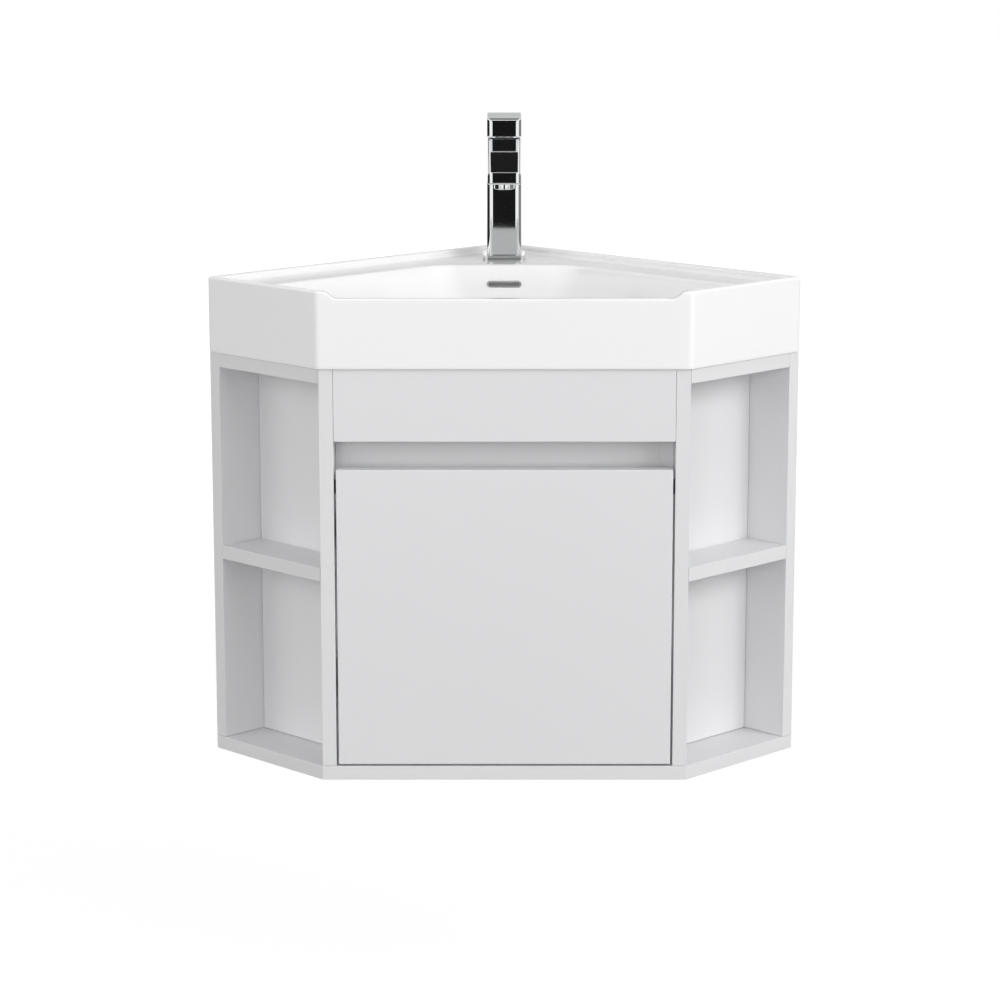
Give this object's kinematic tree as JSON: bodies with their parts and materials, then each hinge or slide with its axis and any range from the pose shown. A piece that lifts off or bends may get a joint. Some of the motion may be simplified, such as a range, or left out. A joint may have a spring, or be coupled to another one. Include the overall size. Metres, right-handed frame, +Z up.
{
  "type": "corner vanity unit",
  "caption": "Wall-hung white corner vanity unit with a hinged door, open side bays, a five-sided ceramic basin and a square lever mixer tap.",
  "frame": {"origin": "the room corner, where the two walls meet, at the height of the cabinet's underside", "axes": "+Z up; the front faces -Y; the walls run from the origin at 45 degrees towards -X-Y and +X-Y"},
  "size_m": [0.6676, 0.4674, 0.716],
  "materials": {
    "carcass_white": "white melamine, satin",
    "front_white": "white lacquer, satin",
    "basin_ceramic": "white glaze, glossy",
    "tap_chrome": "polished chrome",
    "zinc_steel": "nickel-plated steel, satin",
    "black_rubber": "black rubber, matte",
    "fitting_brass": "machined brass",
    "cartridge_plastic": "grey acetal, matte",
    "beech_dowel": "bare fluted beech"
  },
  "bodies": {
    "cabinet": {"bottom_panel": "carcass_white", "left_end_panel": "carcass_white", "right_end_panel": "carcass_white", "left_partition": "carcass_white", "right_partition": "carcass_white", "left_bay_back": "carcass_white", "right_bay_back": "carcass_white", "left_top_board": "carcass_white", "right_top_board": "carcass_white", "left_shelf": "carcass_white", "right_shelf": "carcass_white", "fascia": "front_white", "recess_board": "carcass_white", "left_cleat": "carcass_white", "right_cleat": "carcass_white", "left_hanging_rail": "carcass_white", "right_hanging_rail": "carcass_white", "left_lower_rail": "carcass_white", "right_lower_rail": "carcass_white", "bay_dowels": "beech_dowel", "base_screws": "zinc_steel", "left_door_buffer": "black_rubber", "right_door_stop": "black_rubber", "upper_mounting_plate": "zinc_steel", "lower_mounting_plate": "zinc_steel", "upper_hinge_arm": "zinc_steel", "lower_hinge_arm": "zinc_steel", "plate_screws": "zinc_steel", "basin": "basin_ceramic", "overflow_trim": "tap_chrome", "waste_body": "tap_chrome", "waste_gasket": "black_rubber", "waste_backnut": "fitting_brass", "tap_base_plate": "tap_chrome", "tap_base_seal": "black_rubber", "tap_body": "tap_chrome", "tap_cartridge": "cartridge_plastic", "cartridge_ring": "tap_chrome", "tap_aerator": "tap_chrome", "tap_stud": "zinc_steel", "tap_clamp_gasket": "black_rubber", "tap_clamp_plate": "zinc_steel", "tap_nut": "fitting_brass"},
    "door": {"door": "front_white", "upper_hinge_cup": "zinc_steel", "lower_hinge_cup": "zinc_steel", "hinge_pins": "zinc_steel", "cup_screws": "zinc_steel"},
    "plug": {"waste_plug": "tap_chrome"},
    "turret": {"tap_turret": "zinc_steel", "lever_pin": "zinc_steel"},
    "lever": {"tap_lever": "tap_chrome", "lever_stem": "zinc_steel", "lever_screw": "zinc_steel"}
  },
  "joints": [
    {"name": "door_swing", "type": "hinge", "parent": "cabinet", "child": "door", "pos_m": [-0.1708, -0.45686, 0.194], "axis": [0, 0, -1], "range_deg": [0, 100]},
    {"name": "plug_lift", "type": "slide", "parent": "cabinet", "child": "plug", "axis": [0, 0, 1], "range_m": [0, 0.007]},
    {"name": "lever_turn", "type": "hinge", "parent": "cabinet", "child": "turret", "pos_m": [0, -0.0915, 0.6885], "axis": [0, 0, 1], "range_deg": [-45, 45]},
    {"name": "lever_lift", "type": "hinge", "parent": "turret", "child": "lever", "pos_m": [0, -0.0915, 0.684], "axis": [-1, 0, 0], "range_deg": [0, 18]}
  ]
}
